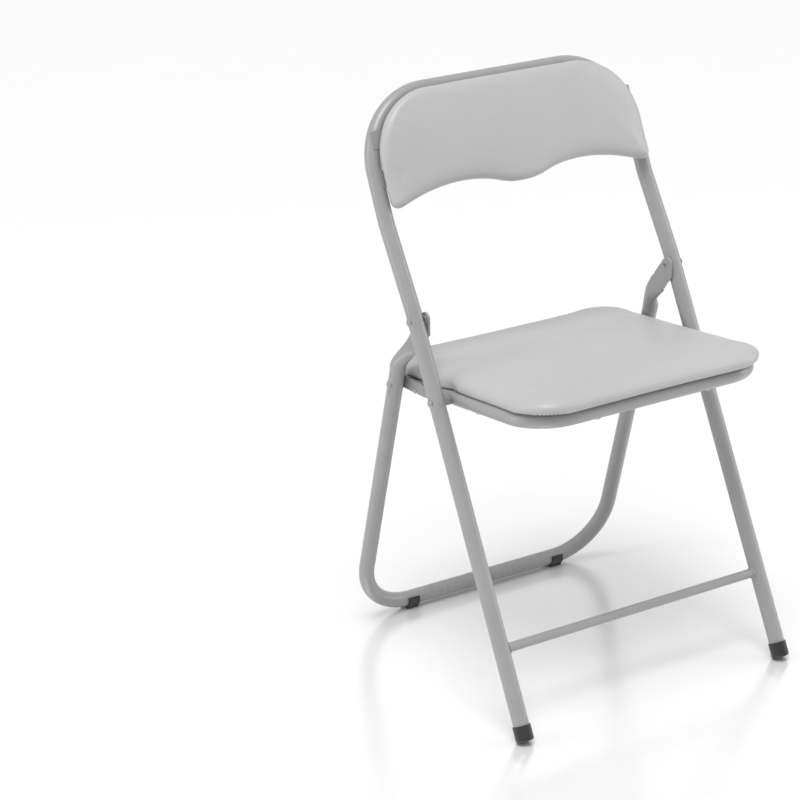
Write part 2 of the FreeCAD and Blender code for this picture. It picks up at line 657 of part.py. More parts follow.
# stud that the link carries at the rear leg: flush inside, collar outside
stud_in = face - 0.8
collar_out = D("rear_half") - T - 0.35
c_pin = cyl("link_stud_shank", "rivet_radius", str(round(collar_out - face, 4)), Vector(face, C0.y, C0.z), X)
c_flat = cyl("link_stud_flat", "rivet_radius + 1.4", "0.8", Vector(stud_in, C0.y, C0.z), X)
c_collar = cyl("link_stud_collar", "washer_radius - 2.0", str(round(collar_out - face - D("link_plate"), 4)),
               Vector(face + D("link_plate"), C0.y, C0.z), X)
right_stud = final(fuse("right_stud_solid", [c_pin, c_flat, c_collar]), "right_link_stud")
left_stud = final(mirror("left_stud_mirror", right_stud), "left_link_stud")

# rivets through the rear legs at the links
c_out = D("rear_half") + T - 0.25
leg_in = D("rear_half") - T
cr_shank = cyl("leg_rivet_shank", "rivet_radius", str(round(c_out - leg_in - 0.2, 4)),
               Vector(leg_in + 0.2, C0.y, C0.z), X)
cr_head = cap("leg_rivet_head", "rivet_head_radius", "rivet_head_height", Vector(c_out, C0.y, C0.z), X)
cr_head_cut = cut("leg_rivet_head_seat", cr_head, [rear_outer])
leg_rivet = fuse("leg_rivet", [cr_shank, cr_head_cut])
final(pair("link_pivot_rivets", leg_rivet), "link_pivot_rivets")

# ================================================================ seat pad
# plywood board, foam, vinyl cover that folds under the board, and a lining
lift = D("ring_od") / 2
board = rounded_plate("seat_board_blank", "pad_half - board_inset", "pad_front - board_inset",
                      "pad_rear - board_inset", "pad_corner_radius - board_inset", "board_seat",
                      lift + D("skin"))
final(cut("seat_board_cut", board, screw_holes), "seat_board")
foam_body = rounded_plate("seat_foam_body", "pad_half - skin", "pad_front - skin", "pad_rear - skin",
                          "pad_corner_radius - skin", "foam_seat + board_seat", lift + D("skin"),
                          "pad_edge_round - skin")
foam = final(cut("seat_foam_cut", foam_body, [board] + screw_holes), "seat_foam")
cover_out = rounded_plate("seat_cover_outer", "pad_half", "pad_front", "pad_rear", "pad_corner_radius",
                          "foam_seat + board_seat + 2 * skin", lift, "pad_edge_round")
cover_in = rounded_plate("seat_cover_inner", "pad_half - skin", "pad_front - skin", "pad_rear - skin",
                         "pad_corner_radius - skin", "foam_seat + board_seat",
                         lift + D("skin"), "pad_edge_round - skin")
cover_open = rounded_plate("seat_cover_opening", "pad_half - lip", "pad_front - lip", "pad_rear - lip",
                           "pad_corner_radius - lip", "2 * skin", lift - D("skin"))
final(cut("seat_cover_cut", cover_out, [cover_in, cover_open] + screw_holes), "seat_cover")
lining = rounded_plate("seat_lining_blank", "pad_half - lip", "pad_front - lip", "pad_rear - lip",
                       "pad_corner_radius - lip", "skin", lift)
final(cut("seat_lining_cut", lining, screw_holes), "seat_lining")

# ================================================================ back pad
# outline follows the middle of the top U; the lower edge dips at both ends
# and in the middle
half_edge = [(0, 733.2), (9, 733.6), (20, 735.4), (32, 738.6), (44, 741.9), (58, 744.6), (75, 746.0),
             (95, 746.3), (115, 745.6), (133, 743.6), (150, 740.4), (168, 735.8), (184, 731.0),
             (195, 727.6), (201, 725.9)]


def back_outline(inset, out):
    """Closed face parallel to the upper tube plane, its edge moved in by inset."""
    hb = D("back_half")
    pts = []
    for x, at in half_edge:
        pts.append((x, at))
    # rounded lower corner
    cx, cs, rr = hb - 11.5, 736.8, 11.5
    for k in range(1, 7):
        a = rad(-82 + 82 * k / 6.0)
        pts.append((cx + rr * math.cos(a), cs + rr * math.sin(a)))
    top = D("front_top") + 0.5
    bc = D("back_corner")
    for k in range(1, 4):
        pts.append((hb, cs + (top - bc - cs) * k / 4.0))
    for k in range(0, 13):
        a = rad(90 * k / 12.0)
        p = 2.08
        pts.append((hb - bc + bc * math.cos(a) ** (2 / p) if k < 12 else hb - bc,
                    top - bc + bc * math.sin(a) ** (2 / p)))
    for k in range(1, 4):
        pts.append(((hb - bc) * (1 - k / 4.0), top))
    right = pts
    left = [(-x, a) for x, a in reversed(right) if x > 1e-6]
    loop = right + [(0, top)] + left
    # inward offset of the closed loop
    n = len(loop)
    moved = []
    for i in range(n):
        ax, ay = loop[(i - 1) % n]
        bx, by = loop[(i + 1) % n]
        tx, ty = bx - ax, by - ay
        l = math.hypot(tx, ty)
        nx, ny = -ty / l, tx / l
        moved.append((loop[i][0] + nx * inset, loop[i][1] + ny * inset))
    b = Part.BSplineCurve()
    b.interpolate(Points=[back_point(x, at, out) for x, at in moved], PeriodicFlag=True)
    return Part.Face(Part.Wire([b.toShape()]))


def back_slab(name, inset, out, thick_expr):
    o = doc.addObject("Part::Feature", name + "_outline")
    o.Shape = back_outline(inset, out)
    x = doc.addObject("Part::Extrusion", name)
    x.Base = o
    x.DirMode = "Custom"
    x.Dir = BACK_OUT
    bind(x, "LengthFwd", thick_expr)
    x.Solid = True
    return x


def rear_panel(name, out, thick_expr):
    """Plain rounded panel inside the cover's folded edge on the rear side."""
    w, low, high = D("back_half") - D("lip"), 766.0, D("front_top") - D("lip")
    pts = [back_point(w, low, out), back_point(w, high, out), back_point(-w, high, out),
           back_point(-w, low, out)]
    o = doc.addObject("Part::Feature", name + "_outline")
    o.Shape = Part.Face(Part.Wire(Part.__sortEdges__(rounded_edges(pts, [12, 76, 76, 12], True))))
    x = doc.addObject("Part::Extrusion", name)
    x.Base = o
    x.DirMode = "Custom"
    x.Dir = BACK_OUT
    bind(x, "LengthFwd", thick_expr)
    x.Solid = True
    return x


sk_ = D("skin")
o0 = T + D("back_gap")
o1 = o0 + sk_
o2 = o1 + D("board_back")
b_screw_at = [(-194.0, 770.0), (194.0, 770.0), (-190.0, 822.0), (190.0, 822.0)]
bs_holes = [cyl("back_screw_hole_%d" % (k + 1), "screw_radius", "11",
                back_point(x, at, o0 - D("bracket_plate") - 1.0), BACK_OUT)
            for k, (x, at) in enumerate(b_screw_at)]
back_blank = back_slab("back_board_blank", D("board_inset"), o1, "board_back")
back_board = final(cut("back_board_cut", back_blank, bs_holes), "back_board")
back_foam = final(cut("back_foam_cut", back_slab("back_foam_slab", sk_, o1, "board_back + foam_back"),
                      [back_blank] + bs_holes), "back_foam")
bc_out = back_slab("back_cover_outer", 0.0, o0, "board_back + foam_back + 2 * skin")
bc_in = back_slab("back_cover_inner", sk_, o1, "board_back + foam_back")
bc_open = rear_panel("back_cover_opening", o0 - 1.0, "skin + 1")
back_cover = final(cut("back_cover_cut", bc_out, [bc_in, bc_open] + bs_holes), "back_cover")
back_lining = final(cut("back_lining_cut", rear_panel("back_lining_blank", o0, "skin"),
                        bs_holes), "back_lining")

# steel tabs welded inside the upper tube, screwed to the board from behind
tabs = []
for k, (x, at) in enumerate(b_screw_at):
    t = doc.addObject("Part::Box", "tab_%d" % (k + 1))
    s = 1 if x > 0 else -1
    x_in, x_out = abs(x) - 8.0, 214.0
    bind(t, "Width", "bracket_width")
    bind(t, "Height", "bracket_plate")
    t.Length = x_out - x_in
    base = back_point(x_in if s > 0 else -x_out, at - D("bracket_width") / 2, o0 - D("bracket_plate"))
    t.Placement = Placement(base, Rotation(X, BACK_UP, BACK_OUT, "XYZ"))
    tabs.append(cut("tab_cut_%d" % (k + 1), t, [front_outer, bs_holes[k]]))
final(group("back_tabs", tabs), "back_tabs")
b_screws = []
for k, (x, at) in enumerate(b_screw_at):
    base = back_point(x, at, o0 - D("bracket_plate"))
    sh = cyl("back_screw_shank_%d" % (k + 1), "screw_radius", "9.0", base, BACK_OUT)
    hd = cap("back_screw_head_%d" % (k + 1), "screw_head_radius", "screw_head_height", base, -BACK_OUT)
    tip = base - BACK_OUT * D("screw_head_height")
    b_screws.append(cut("back_screw_%d" % (k + 1), fuse("back_screw_solid_%d" % (k + 1), [sh, hd]),
                        cross("back_screw_cross_%d" % (k + 1), tip, -BACK_OUT)))
final(group("back_screws", b_screws), "back_screws")

# ================================================================ feet
# black caps over the front leg ends, trimmed flat where they stand
foot = front_point(0)
axis = (front_point(100) - foot).normalize()
cap_start = D("front_start") - D("cap_floor")
cap_base = foot + axis * cap_start
outer_c = cyl("cap_outer", "cap_radius", "cap_length", cap_base, axis)
doc.recompute()
edge_names = [i + 1 for i, e in enumerate(outer_c.Shape.Edges)
              if hasattr(e.Curve, "Radius") and (e.Curve.Center - cap_base).Length < 1e-6]
rounded = doc.addObject("Part::Fillet", "cap_rounded")
rounded.Base = outer_c
rounded.Edges = [(i, D("cap_round"), D("cap_round")) for i in edge_names]
cap_bore = cyl("cap_bore", "tube_od / 2", "cap_length", cap_base + axis * D("cap_floor"), axis)
floor_box = doc.addObject("Part::Box", "below_floor")
floor_box.Length, floor_box.Width, floor_box.Height = 700, 700, 60
floor_box.Placement = Placement(Vector(-350, -350, -60), Rotation())
right_cap = final(cut("right_cap_cut", rounded, [cap_bore, floor_box]), "right_foot_cap")
left_cap = final(mirror("left_cap_mirror", right_cap), "left_foot_cap")

# black clip-on glides under the rear bar
bar = Vector(0, D("rear_bar_y") + SY, D("rear_bar_z"))
gx = D("glide_at") - D("glide_width") / 2
g_ring = cyl("glide_ring", "glide_radius", "glide_width", Vector(gx, bar.y, bar.z), X)
g_sole = doc.addObject("Part::Box", "glide_sole")
bind(g_sole, "Length", "glide_width")
bind(g_sole, "Height", "rear_bar_z - 3")
g_sole.Width = 17.0
g_sole.Placement = Placement(Vector(gx, bar.y - 8.5, 0), Rotation())
g_bore = cyl("glide_bore", "tube_od / 2 + 0.35", "glide_width + 4", Vector(gx - 2, bar.y, bar.z), X)
g_open = doc.addObject("Part::Box", "glide_opening")
g_open.Length, g_open.Width, g_open.Height = 40, 60, 40
g_open.Placement = Placement(Vector(gx - 5, bar.y, bar.z), Rotation(X, -27.0)).multiply(
    Placement(Vector(0, -40, 0), Rotation()))
g_body = fuse("glide_solid", [g_ring, g_sole])
right_glide = final(cut("right_glide_cut", g_body, [g_bore, g_open, floor_box]), "right_rear_glide")
left_glide = final(mirror("left_glide_mirror", right_glide), "left_rear_glide")

# ---------------------------------------------------------------- check, export
doc.recompute()
for o in doc.Objects:
    if "Invalid" in o.State or "Error" in o.State:
        raise RuntimeError("%s: %s" % (o.Name, o.State))
os.makedirs("parts", exist_ok=True)
box = FreeCAD.BoundBox()
for name, o in FINAL.items():
    s = o.Shape
    if s.isNull() or not s.isValid():
        raise RuntimeError("bad shape: " + name)
    n = len(s.Solids)
    if n == 0:
        raise RuntimeError("no solid: " + name)
    s.exportStep("parts/%s.step" % name)
    box.add(s.optimalBoundingBox())
    print("%-22s solids %d  volume %.0f" % (name, n, s.Volume))
print("box x %.2f %.2f  y %.2f %.2f  z %.2f %.2f" %
      (box.XMin, box.XMax, box.YMin, box.YMax, box.ZMin, box.ZMax))
print("A %s\nB %s\nC %s\nE %s\nD %s" % (A0, B0, C0, E0, D0))
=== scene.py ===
import math

import bmesh
import bpy
import numpy as np
from mathutils import Matrix, Vector, kdtree, noise


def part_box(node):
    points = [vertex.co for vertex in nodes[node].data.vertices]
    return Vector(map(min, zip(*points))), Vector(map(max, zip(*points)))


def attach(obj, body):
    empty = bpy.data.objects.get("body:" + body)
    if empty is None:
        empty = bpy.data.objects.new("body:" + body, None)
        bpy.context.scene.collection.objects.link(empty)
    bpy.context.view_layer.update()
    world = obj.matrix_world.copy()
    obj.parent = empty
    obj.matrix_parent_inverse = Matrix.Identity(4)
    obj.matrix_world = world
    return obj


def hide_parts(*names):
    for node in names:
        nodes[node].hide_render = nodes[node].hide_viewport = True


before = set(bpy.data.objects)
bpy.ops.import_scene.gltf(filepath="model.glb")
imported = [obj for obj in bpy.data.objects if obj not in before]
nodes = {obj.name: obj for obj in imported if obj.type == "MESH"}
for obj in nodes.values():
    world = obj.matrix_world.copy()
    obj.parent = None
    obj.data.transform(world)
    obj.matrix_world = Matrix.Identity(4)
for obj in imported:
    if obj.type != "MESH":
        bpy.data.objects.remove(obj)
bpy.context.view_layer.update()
scene = bpy.context.scene
MM = 0.001


# ------------------------------------------------------------------ camera
def unit(v):
    return v / np.linalg.norm(v)


AZ, EL, ROLL = math.radians(-32.424), math.radians(22.359), math.radians(-0.251)
TARGET = np.array([-284.7, -13.48, 435.6]) * MM
DIST = 3.4414
back = np.array([math.sin(AZ) * math.cos(EL), -math.cos(AZ) * math.cos(EL), math.sin(EL)])
right = unit(np.cross(-back, [0, 0, 1.0]))
up = np.cross(right, -back)
r2 = right * math.cos(ROLL) + up * math.sin(ROLL)
u2 = -right * math.sin(ROLL) + up * math.cos(ROLL)
cam_data = bpy.data.cameras.new("camera")
cam = bpy.data.objects.new("camera", cam_data)
scene.collection.objects.link(cam)
cam_data.lens = 119.23
cam_data.sensor_width = 36.0
cam_data.clip_start, cam_data.clip_end = 0.05, 60.0
m = Matrix.Identity(4)
for i in range(3):
    m[i][0], m[i][1], m[i][2] = r2[i], u2[i], back[i]
    m[i][3] = (TARGET + back * DIST)[i]
cam.matrix_world = m
scene.camera = cam


# --------------------------------------------------------------- materials
class Shader:
    """A node material with one Principled BSDF and small helpers for building its inputs."""

    def __init__(self, name, **fixed):
        self.mat = bpy.data.materials.new(name)
        self.mat.use_nodes = True
        self.t = self.mat.node_tree
        self.t.nodes.clear()
        out = self.node("ShaderNodeOutputMaterial")
        self.b = self.node("ShaderNodeBsdfPrincipled")
        self.link(self.b.outputs[0], out.inputs["Surface"])
        for k, v in fixed.items():
            self.b.inputs[k.replace("_", " ")].default_value = v
        self.pos = self.node("ShaderNodeTexCoord").outputs["Object"]

    def node(self, kind, **props):
        n = self.t.nodes.new(kind)
        for k, v in props.items():
            setattr(n, k, v)
        return n

    def link(self, a, b):
        self.t.links.new(a, b)

    def noise(self, scale, detail=2.0, rough=0.5, at=None, stretch=None):
        n = self.node("ShaderNodeTexNoise")
        n.inputs["Scale"].default_value = scale
        n.inputs["Detail"].default_value = detail
        n.inputs["Roughness"].default_value = rough
        src = at or self.pos
        if stretch:
            mp = self.node("ShaderNodeMapping")
            mp.inputs["Scale"].default_value = stretch
            self.link(src, mp.inputs["Vector"])
            src = mp.outputs[0]
        self.link(src, n.inputs["Vector"])
        return n.outputs["Fac"]

    def voronoi(self, scale, feature="F1"):
        n = self.node("ShaderNodeTexVoronoi", feature=feature)
        n.inputs["Scale"].default_value = scale
        self.link(self.pos, n.inputs["Vector"])
        return n.outputs["Distance"]

    def remap(self, value, a, b, c, d, smooth=True):
        n = self.node("ShaderNodeMapRange", interpolation_type="SMOOTHSTEP" if smooth else "LINEAR")
        for i, x in enumerate((a, b, c, d)):
            n.inputs[i + 1].default_value = x
        self.link(value, n.inputs[0])
        return n.outputs[0]

    def math(self, op, a, b=None):
        n = self.node("ShaderNodeMath", operation=op)
        for i, x in enumerate((a, b)):
            if x is None:
                continue
            if isinstance(x, (int, float)):
                n.inputs[i].default_value = x
            else:
                self.link(x, n.inputs[i])
        return n.outputs[0]

    def mix(self, fac, a, b):
        n = self.node("ShaderNodeMix", data_type="RGBA")
        self.link(fac, n.inputs[0])
        for i, x in ((6, a), (7, b)):
            if isinstance(x, tuple):
                n.inputs[i].default_value = (*x, 1.0)
            else:
                self.link(x, n.inputs[i])
        return n.outputs[2]

    def axis(self, i):
        n = self.node("ShaderNodeSeparateXYZ")
        self.link(self.pos, n.inputs[0])
        return n.outputs[i]

    def near(self, point, r_in, r_out):
        """1 close to a point, 0 beyond r_out."""
        n = self.node("ShaderNodeVectorMath", operation="DISTANCE")
        self.link(self.pos, n.inputs[0])
        n.inputs[1].default_value = point
        return self.remap(n.outputs["Value"], r_in, r_out, 1.0, 0.0)

    def colour(self, socket):
        self.link(socket, self.b.inputs["Base Color"])

    def rough(self, socket):
        self.link(socket, self.b.inputs["Roughness"])

    def bump(self, *layers):
        """Each layer is (height, strength, distance in metres)."""
        last = None
        for h, strength, distance in layers:
            n = self.node("ShaderNodeBump")
            n.inputs["Strength"].default_value = strength
            n.inputs["Distance"].default_value = distance
            self.link(h, n.inputs["Height"])
            if last is not None:
                self.link(last, n.inputs["Normal"])
            last = n.outputs[0]
        self.link(last, self.b.inputs["Normal"])


def grey(v, tint=0.0):
    return (v * (1 - tint), v, v * (1 + tint))


def paint(name, base, worn, pivots):
    """Satin powder coat on steel tube: orange peel, faint blotches, dulled and rubbed near the pivots and the floor."""
    s = Shader(name, Metallic=0.0, Coat_Weight=0.30, Coat_Roughness=0.16)
    s.b.inputs["Specular IOR Level"].default_value = 0.55
    peel = s.noise(620, 1.5, 0.45)
    fine = s.noise(1900, 2.0, 0.5)
    blotch = s.noise(24, 3.0, 0.55)
    broad = s.noise(5, 2.0, 0.5)
    c = s.mix(s.remap(blotch, 0.32, 0.70, 0, 1), grey(base * 0.975, 0.004), grey(base * 1.02, 0.006))
    c = s.mix(s.remap(broad, 0.35, 0.65, 0, 0.45), c, grey(base * 0.97, 0.004))
    speck = s.remap(fine, 0.64, 0.74, 0, 0.35)
    c = s.mix(speck, c, grey(base * 0.90))
    rub = None
    for p in pivots:
        near = s.near(p, 0.011, 0.026)
        rub = near if rub is None else s.math("MAXIMUM", rub, near)
    floor = s.remap(s.axis(2), 0.012, 0.085, 1, 0)
    rub = floor if rub is None else s.math("MAXIMUM", rub, floor)
    scuff = s.math("MULTIPLY", rub, s.remap(s.noise(170, 4.0, 0.65, stretch=(1, 1, 0.35)), 0.50, 0.68, 0, 1))
    c = s.mix(s.math("MULTIPLY", scuff, 0.55), c, grey(worn))
    s.colour(c)
    r = s.math("ADD", s.remap(blotch, 0.3, 0.7, 0.33, 0.41), s.math("MULTIPLY", scuff, 0.14))
    s.rough(r)
    s.bump((peel, 0.22, 0.00022), (fine, 0.10, 0.00008))
    return s.mat


def vinyl_like(name, base, grain, strength, rough_lo, rough_hi, coat):
    """Soft grained vinyl: pebbled cells with finer pores, and painted shade darkening the grooves between the cells."""
    s = Shader(name, Metallic=0.0, Coat_Weight=coat, Coat_Roughness=0.34)
    s.b.inputs["Specular IOR Level"].default_value = 0.42
    warp = s.noise(grain * 0.35, 2.0, 0.5)
    cells = s.voronoi(grain, "SMOOTH_F1")
    pores = s.noise(grain * 2.6, 3.0, 0.6)
    broad = s.noise(7, 2.0, 0.5)
    mottled = s.noise(38, 3.0, 0.55)
    c = s.mix(s.remap(broad, 0.34, 0.66, 0, 1), grey(base * 0.978, 0.002), grey(base * 1.018, 0.003))
    c = s.mix(s.remap(mottled, 0.40, 0.72, 0, 0.35), c, grey(base * 0.975))
    # painted shade: the colour is darkened up to 30 % towards a darker grey in the grooves between the pebbled cells,
    # where the bump height is low
    valley_shade = s.remap(cells, 0.42, 0.62, 0, 0.30)
    c = s.mix(valley_shade, c, grey(base * 0.90))
    s.colour(c)
    s.rough(s.remap(s.math("ADD", s.math("MULTIPLY", mottled, 0.6), s.math("MULTIPLY", pores, 0.4)),
                    0.35, 0.65, rough_lo, rough_hi))
    height = s.math("SUBTRACT", s.math("ADD", s.math("MULTIPLY", warp, 0.5), s.math("MULTIPLY", pores, 0.22)),
                    s.math("MULTIPLY", cells, 0.9))
    s.bump((height, strength, 0.00035))
    return s.mat


def metal(name, base, rough_lo, rough_hi, metallic, scale=260):
    s = Shader(name, Metallic=metallic)
    marks = s.noise(scale, 4.0, 0.6)
    fine = s.noise(scale * 6, 2.0, 0.5)
    tarnish = s.noise(90, 3.0, 0.6)
    c = s.mix(s.remap(marks, 0.35, 0.68, 0, 1), grey(base * 0.90), grey(base * 1.06, 0.004))
    c = s.mix(s.remap(tarnish, 0.56, 0.72, 0, 0.5), c, grey(base * 0.62, -0.01))
    s.colour(c)
    s.rough(s.remap(marks, 0.3, 0.7, rough_lo, rough_hi))
    s.bump((marks, 0.10, 0.00012), (fine, 0.10, 0.00004))
    return s.mat


def plastic(name, base, rough_lo, rough_hi, dusty):
    """Moulded plastic: fine spark texture, slightly greyed where it meets the floor."""
    s = Shader(name, Metallic=0.0)
    s.b.inputs["Specular IOR Level"].default_value = 0.5
    spark = s.noise(1500, 2.5, 0.6)
    flow = s.noise(60, 3.0, 0.5, stretch=(1, 1, 0.25))
    c = s.mix(s.remap(flow, 0.35, 0.7, 0, 1), grey(base * 0.85), grey(base * 1.2, 0.01))
    scuff = s.math("MULTIPLY", s.remap(s.axis(2), 0.001, 0.014, 1, 0), s.remap(s.noise(420, 4, 0.7), 0.46, 0.66, 0, 1))
    c = s.mix(s.math("MULTIPLY", scuff, 0.7), c, grey(dusty))
    s.colour(c)
    s.rough(s.math("ADD", s.remap(spark, 0.3, 0.7, rough_lo, rough_hi), s.math("MULTIPLY", scuff, 0.2)))
    s.bump((spark, 0.20, 0.00012), (flow, 0.06, 0.0002))
    return s.mat


def woven(name, base, pitch):
    """Close woven backing cloth, threads along two directions."""
    s = Shader(name, Metallic=0.0, Roughness=0.8)
    s.b.inputs["Sheen Weight"].default_value = 0.12
    w = 2 * math.pi / pitch
    xs = s.math("SINE", s.math("MULTIPLY", s.axis(0), w))
    ys = s.math("SINE", s.math("MULTIPLY", s.axis(1), w))
    weave = s.math("MULTIPLY", xs, ys)
    fuzz = s.noise(1400, 3.0, 0.6)
    broad = s.noise(9, 2.0, 0.5)
    c = s.mix(s.remap(weave, -0.8, 0.8, 0, 1), grey(base * 0.93), grey(base * 1.04))
    c = s.mix(s.remap(broad, 0.35, 0.65, 0, 0.6), c, grey(base * 0.97))
    s.colour(c)
    s.rough(s.remap(fuzz, 0.3, 0.7, 0.66, 0.86))
    s.bump((weave, 0.18, 0.00020), (fuzz, 0.15, 0.0001))
    return s.mat


def timber(name):
    """Plywood: long grain with darker lines and open pores."""
    s = Shader(name, Metallic=0.0)
    grain = s.noise(26, 5.0, 0.65, stretch=(0.12, 1.6, 6.0))
    line = s.noise(190, 3.0, 0.6, stretch=(0.05, 1.0, 8.0))
    c = s.mix(s.remap(grain, 0.35, 0.66, 0, 1), (0.46, 0.31, 0.17), (0.62, 0.46, 0.28))
    c = s.mix(s.remap(line, 0.55, 0.7, 0, 0.6), c, (0.30, 0.19, 0.10))
    s.colour(c)
    s.rough(s.remap(line, 0.3, 0.7, 0.6, 0.78))
    s.bump((line, 0.3, 0.0002))
    return s.mat


def foam_like(name):
    """Open-cell foam."""
    s = Shader(name, Metallic=0.0)
    cells = s.voronoi(900)
    fine = s.noise(1300, 3.0, 0.6)
    c = s.mix(s.remap(cells, 0.1, 0.6, 0, 1), (0.62, 0.58, 0.46), (0.80, 0.77, 0.66))
    s.colour(c)
    s.rough(s.remap(fine, 0.3, 0.7, 0.85, 0.97))
    s.bump((cells, 0.6, 0.0004))
    return s.mat


def middle(name):
    lo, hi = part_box(name)
    return (lo + hi) / 2


# the pivots on each side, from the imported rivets
side_points = []
for n in ("upper_pivot_rivets", "seat_pivot_rivets", "link_pivot_rivets", "link_hinge_rivets"):
    lo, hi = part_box(n)
    for x in (lo.x + 0.006, hi.x - 0.006):
        side_points.append((x, (lo.y + hi.y) / 2, (lo.z + hi.z) / 2))

M_FRAME = paint("powder_coat", 0.275, 0.20, side_points)
M_LINK = paint("powder_coat_stamped", 0.26, 0.20, side_points[:4])
M_RIVET = metal("rivet_steel", 0.30, 0.30, 0.42, 0.35)
M_ZINC = metal("zinc_screw", 0.50, 0.24, 0.38, 0.95, 420)
M_WELD = metal("painted_weld", 0.32, 0.34, 0.46, 0.05, 520)
M_BLACK = plastic("black_plastic", 0.016, 0.34, 0.46, 0.075)
M_BUSH = plastic("bush_plastic", 0.20, 0.36, 0.48, 0.22)
M_VINYL = vinyl_like("grained_vinyl", 0.40, 760, 0.30, 0.38, 0.47, 0.12)
M_LINING = woven("backing_cloth", 0.40, 0.0011)
M_PLY = timber("plywood")
M_FOAM = foam_like("foam")
M_SLEEVE = metal("bare_steel_sleeve", 0.42, 0.35, 0.5, 0.9)

WEAR = {
    "front_frame": M_FRAME, "front_stretcher": M_FRAME, "stretcher_welds": M_WELD, "rear_frame": M_FRAME,
    "seat_frame": M_FRAME, "back_tabs": M_FRAME, "left_link": M_LINK, "right_link": M_LINK,
    "left_foot_cap": M_BLACK, "right_foot_cap": M_BLACK, "left_rear_glide": M_BLACK, "right_rear_glide": M_BLACK,
    "upper_pivot_rivets": M_RIVET, "seat_pivot_rivets": M_RIVET, "link_pivot_rivets": M_RIVET,
    "link_hinge_rivets": M_RIVET, "stop_pins": M_RIVET, "left_link_stud": M_RIVET, "right_link_stud": M_RIVET,
    "upper_pivot_washers": M_ZINC, "link_hinge_washers": M_ZINC, "seat_screws": M_ZINC, "back_screws": M_ZINC,
    "seat_pivot_bushes": M_BUSH, "seat_frame_sleeve": M_SLEEVE, "seat_board": M_PLY, "back_board": M_PLY,
    "seat_foam": M_FOAM, "back_foam": M_FOAM, "seat_cover": M_VINYL, "back_cover": M_VINYL,
    "seat_lining": M_LINING, "back_lining": M_LINING,
}
for n, o in nodes.items():
    if not o.material_slots:
        o.data.materials.append(WEAR[n])
    for k in range(len(o.material_slots)):
        o.material_slots[k].material = WEAR[n]


# -------------------------------------------------------------- soft shapes
def resample(pts, step):
    """Closed outline at an even spacing."""
    p = np.vstack([pts, pts[:1]])
    seg = np.linalg.norm(np.diff(p, axis=0), axis=1)
    s = np.concatenate([[0], np.cumsum(seg)])
    n = int(round(s[-1] / step))
    u = np.arange(n) / n * s[-1]
    return np.stack([np.interp(u, s, p[:, 0]), np.interp(u, s, p[:, 1])], 1), s[-1]


class Outline:
    """A closed plan outline with nearest-point queries; d is positive inside."""

    def __init__(self, pts, step=0.4):
        area = 0.5 * np.sum(pts[:, 0] * np.roll(pts[:, 1], -1) - np.roll(pts[:, 0], -1) * pts[:, 1])
        if area < 0:
            pts = pts[::-1]
        self.p, self.length = resample(pts, step)
        t = np.roll(self.p, -3, 0) - np.roll(self.p, 3, 0)
        t /= np.linalg.norm(t, axis=1)[:, None]
        self.n = np.stack([t[:, 1], -t[:, 0]], 1)
        self.tree = kdtree.KDTree(len(self.p))
        for i, q in enumerate(self.p):
            self.tree.insert((q[0], q[1], 0), i)
        self.tree.balance()

    def query(self, xy):
        idx = np.array([self.tree.find((a, b, 0))[1] for a, b in xy])
        q, n = self.p[idx], self.n[idx]
        d = -np.einsum("ij,ij->i", xy - q, n)
        return d, n, q, idx * (self.length / len(self.p))


def mesh_from(name, verts, faces):
    me = bpy.data.meshes.new(name)
    me.from_pydata([tuple(v) for v in verts], [], faces)
    me.update()
    ob = bpy.data.objects.new(name, me)
    scene.collection.objects.link(ob)
    return ob


def coords(ob):
    a = np.zeros(len(ob.data.vertices) * 3)
    ob.data.vertices.foreach_get("co", a)
    return a.reshape(-1, 3)


def set_coords(ob, co):
    ob.data.vertices.foreach_set("co", np.asarray(co, float).ravel())
    ob.data.update()


def applied(ob):
    """The object's evaluated mesh takes the place of its mesh and its modifiers."""
    dg = bpy.context.evaluated_depsgraph_get()
    me = bpy.data.meshes.new_from_object(ob.evaluated_get(dg))
    ob.modifiers.clear()
    old = ob.data
    ob.data = me
    bpy.data.meshes.remove(old)
    return ob


def slab(name, outline, low, high, voxel):
    """A closed prism on an outline (mm), voxel remeshed (metres)."""
    pts, _ = resample(outline.p, 4.0)
    n = len(pts)
    v = [(x, y, low) for x, y in pts] + [(x, y, high) for x, y in pts]
    f = [tuple(range(n - 1, -1, -1)), tuple(range(n, 2 * n))]
    f += [(i, (i + 1) % n, n + (i + 1) % n, n + i) for i in range(n)]
    ob = mesh_from(name, np.array(v) * MM, f)
    bm = bmesh.new()
    bm.from_mesh(ob.data)
    bmesh.ops.triangulate(bm, faces=bm.faces)
    bm.to_mesh(ob.data)
    bm.free()
    rm = ob.modifiers.new("remesh", "REMESH")
    rm.mode = "VOXEL"
    rm.voxel_size = voxel * MM
    return applied(ob)


def round_over(co, outline, low, mid, high, r_top, r_low):
    """Turns a slab's square edge into a soft round one: quarter ellipses above and below the widest line."""
    d, n, q, _ = outline.query(co[:, :2])
    a = np.maximum(d, 0.0)
    out = co.copy()
    for top in (True, False):
        h, r = ((high - mid), r_top) if top else ((mid - low), r_low)
        lim = high if top else low
        depth = np.abs(lim - co[:, 2])                     # below the flat face
        side = (co[:, 2] >= mid) if top else (co[:, 2] < mid)
        s = np.clip((h - np.minimum(depth, h)) + np.minimum(a, r), 0, h + r)
        phi = (math.pi / 2) * s / (h + r)
        dz = h * np.sin(phi)
        dd = r * (1 - np.cos(phi))
        edge = side & (a < r)
        xy = q - n * dd[:, None]
        out[edge, :2] = xy[edge]
        out[side, 2] = np.where(edge, mid + (dz if top else -dz), lim)[side]
    return out


